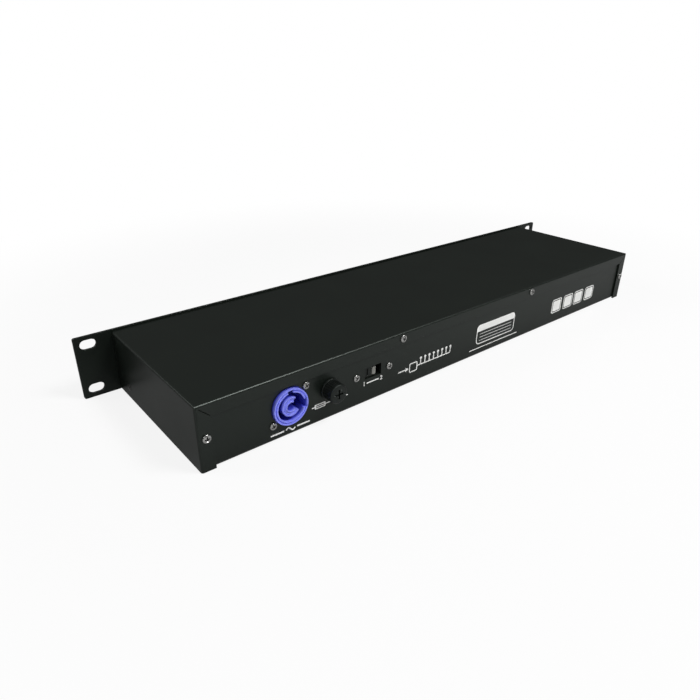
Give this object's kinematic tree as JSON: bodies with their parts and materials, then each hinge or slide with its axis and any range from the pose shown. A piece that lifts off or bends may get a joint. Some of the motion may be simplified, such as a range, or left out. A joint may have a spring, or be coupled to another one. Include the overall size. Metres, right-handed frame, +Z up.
{
  "type": "dmx splitter",
  "caption": "One-unit rack splitter for lighting data: sheet steel case with ears, round data connectors and toggle switches in front, mains inlet, fuse and voltage selector behind.",
  "frame": {"origin": "middle of the underside, on the face that the case rests on", "axes": "+Z up, the front panel faces -Y, +X to the right of someone who looks at the front"},
  "size_m": [0.4826, 0.1457, 0.0437],
  "materials": {
    "powder_coat": "black satin powder coat on steel",
    "zinc_plate": "bright zinc plated steel",
    "nickel_plate": "satin nickel plate",
    "blue_nylon": "moulded blue nylon, satin",
    "black_nylon": "moulded black nylon, satin",
    "pale_acetal": "moulded light grey acetal",
    "glass": "clear fuse glass with plated ends",
    "lamp_green": "green lamp lens",
    "circuit_laminate": "green circuit laminate with parts",
    "core_steel": "varnished core laminations",
    "cable_pvc": "black sleeved wiring"
  },
  "bodies": {
    "root": {"chassis_tray": "powder_coat", "top_cover": "powder_coat", "front_panel": "powder_coat", "cover_screw_right": "zinc_plate", "cover_screw_left": "zinc_plate", "cover_screw_top_right": "zinc_plate", "cover_screw_top_left": "zinc_plate", "inlet_screw_upper": "zinc_plate", "inlet_screw_lower": "zinc_plate", "selector_screw_right": "zinc_plate", "selector_screw_left": "zinc_plate", "mains_inlet": "blue_nylon", "fuse_holder_body": "black_nylon", "fuse_holder_nut": "black_nylon", "selector_body": "black_nylon", "power_switch_body": "black_nylon", "power_lamp": "lamp_green", "main_board": "circuit_laminate", "transformer": "core_steel", "mains_loom": "cable_pvc", "input_a_shell": "nickel_plate", "input_b_shell": "nickel_plate", "input_a_pins": "black_nylon", "input_b_pins": "black_nylon", "output_1_socket": "black_nylon", "output_2_socket": "black_nylon", "output_3_socket": "black_nylon", "output_4_socket": "black_nylon", "output_5_socket": "black_nylon", "output_6_socket": "black_nylon", "output_7_socket": "black_nylon", "output_8_socket": "black_nylon", "toggle_1_body": "nickel_plate", "toggle_2_body": "nickel_plate", "toggle_3_body": "nickel_plate", "toggle_4_body": "nickel_plate", "toggle_5_body": "nickel_plate", "toggle_6_body": "nickel_plate", "toggle_7_body": "nickel_plate", "toggle_8_body": "nickel_plate"},
    "output_1_latch": {"output_1_latch": "nickel_plate"},
    "output_2_latch": {"output_2_latch": "nickel_plate"},
    "output_3_latch": {"output_3_latch": "nickel_plate"},
    "output_4_latch": {"output_4_latch": "nickel_plate"},
    "output_5_latch": {"output_5_latch": "nickel_plate"},
    "output_6_latch": {"output_6_latch": "nickel_plate"},
    "output_7_latch": {"output_7_latch": "nickel_plate"},
    "output_8_latch": {"output_8_latch": "nickel_plate"},
    "toggle_1_lever": {"toggle_1_lever": "nickel_plate"},
    "toggle_2_lever": {"toggle_2_lever": "nickel_plate"},
    "toggle_3_lever": {"toggle_3_lever": "nickel_plate"},
    "toggle_4_lever": {"toggle_4_lever": "nickel_plate"},
    "toggle_5_lever": {"toggle_5_lever": "nickel_plate"},
    "toggle_6_lever": {"toggle_6_lever": "nickel_plate"},
    "toggle_7_lever": {"toggle_7_lever": "nickel_plate"},
    "toggle_8_lever": {"toggle_8_lever": "nickel_plate"},
    "power_rocker": {"power_rocker": "black_nylon"},
    "selector_slider": {"selector_slider": "pale_acetal"},
    "fuse": {"fuse": "glass"},
    "fuse_cap": {"fuse_cap": "black_nylon"}
  },
  "joints": [
    {"name": "output_1_latch_push", "type": "slide", "parent": "root", "child": "output_1_latch", "axis": [0, 1, 0], "range_m": [0, 0.0018], "stiffness_N_per_m": 600, "springref_m": -0.001},
    {"name": "output_2_latch_push", "type": "slide", "parent": "root", "child": "output_2_latch", "axis": [0, 1, 0], "range_m": [0, 0.0018], "stiffness_N_per_m": 600, "springref_m": -0.001},
    {"name": "output_3_latch_push", "type": "slide", "parent": "root", "child": "output_3_latch", "axis": [0, 1, 0], "range_m": [0, 0.0018], "stiffness_N_per_m": 600, "springref_m": -0.001},
    {"name": "output_4_latch_push", "type": "slide", "parent": "root", "child": "output_4_latch", "axis": [0, 1, 0], "range_m": [0, 0.0018], "stiffness_N_per_m": 600, "springref_m": -0.001},
    {"name": "output_5_latch_push", "type": "slide", "parent": "root", "child": "output_5_latch", "axis": [0, 1, 0], "range_m": [0, 0.0018], "stiffness_N_per_m": 600, "springref_m": -0.001},
    {"name": "output_6_latch_push", "type": "slide", "parent": "root", "child": "output_6_latch", "axis": [0, 1, 0], "range_m": [0, 0.0018], "stiffness_N_per_m": 600, "springref_m": -0.001},
    {"name": "output_7_latch_push", "type": "slide", "parent": "root", "child": "output_7_latch", "axis": [0, 1, 0], "range_m": [0, 0.0018], "stiffness_N_per_m": 600, "springref_m": -0.001},
    {"name": "output_8_latch_push", "type": "slide", "parent": "root", "child": "output_8_latch", "axis": [0, 1, 0], "range_m": [0, 0.0018], "stiffness_N_per_m": 600, "springref_m": -0.001},
    {"name": "toggle_1_throw", "type": "hinge", "parent": "root", "child": "toggle_1_lever", "pos_m": [-0.102, -0.066, 0.02185], "axis": [1, 0, 0], "range_deg": [0, 26]},
    {"name": "toggle_2_throw", "type": "hinge", "parent": "root", "child": "toggle_2_lever", "pos_m": [-0.064, -0.066, 0.02185], "axis": [1, 0, 0], "range_deg": [0, 26]},
    {"name": "toggle_3_throw", "type": "hinge", "parent": "root", "child": "toggle_3_lever", "pos_m": [-0.026, -0.066, 0.02185], "axis": [1, 0, 0], "range_deg": [0, 26]},
    {"name": "toggle_4_throw", "type": "hinge", "parent": "root", "child": "toggle_4_lever", "pos_m": [0.012, -0.066, 0.02185], "axis": [1, 0, 0], "range_deg": [0, 26]},
    {"name": "toggle_5_throw", "type": "hinge", "parent": "root", "child": "toggle_5_lever", "pos_m": [0.05, -0.066, 0.02185], "axis": [1, 0, 0], "range_deg": [0, 26]},
    {"name": "toggle_6_throw", "type": "hinge", "parent": "root", "child": "toggle_6_lever", "pos_m": [0.088, -0.066, 0.02185], "axis": [1, 0, 0], "range_deg": [0, 26]},
    {"name": "toggle_7_throw", "type": "hinge", "parent": "root", "child": "toggle_7_lever", "pos_m": [0.126, -0.066, 0.02185], "axis": [1, 0, 0], "range_deg": [0, 26]},
    {"name": "toggle_8_throw", "type": "hinge", "parent": "root", "child": "toggle_8_lever", "pos_m": [0.164, -0.066, 0.02185], "axis": [1, 0, 0], "range_deg": [0, 26]},
    {"name": "power_rocker_tilt", "type": "hinge", "parent": "root", "child": "power_rocker", "pos_m": [0.197, -0.061, 0.02185], "axis": [1, 0, 0], "range_deg": [-16, 0]},
    {"name": "selector_slide", "type": "slide", "parent": "root", "child": "selector_slider", "axis": [1, 0, 0], "range_m": [-0.0037, 0]},
    {"name": "fuse_draw", "type": "slide", "parent": "root", "child": "fuse", "axis": [0, 1, 0], "range_m": [0, 0.03]},
    {"name": "fuse_cap_turn", "type": "hinge", "parent": "fuse", "child": "fuse_cap", "pos_m": [0.1282, 0.0603, 0.0213], "axis": [0, 1, 0], "range_deg": [0, 90]}
  ]
}
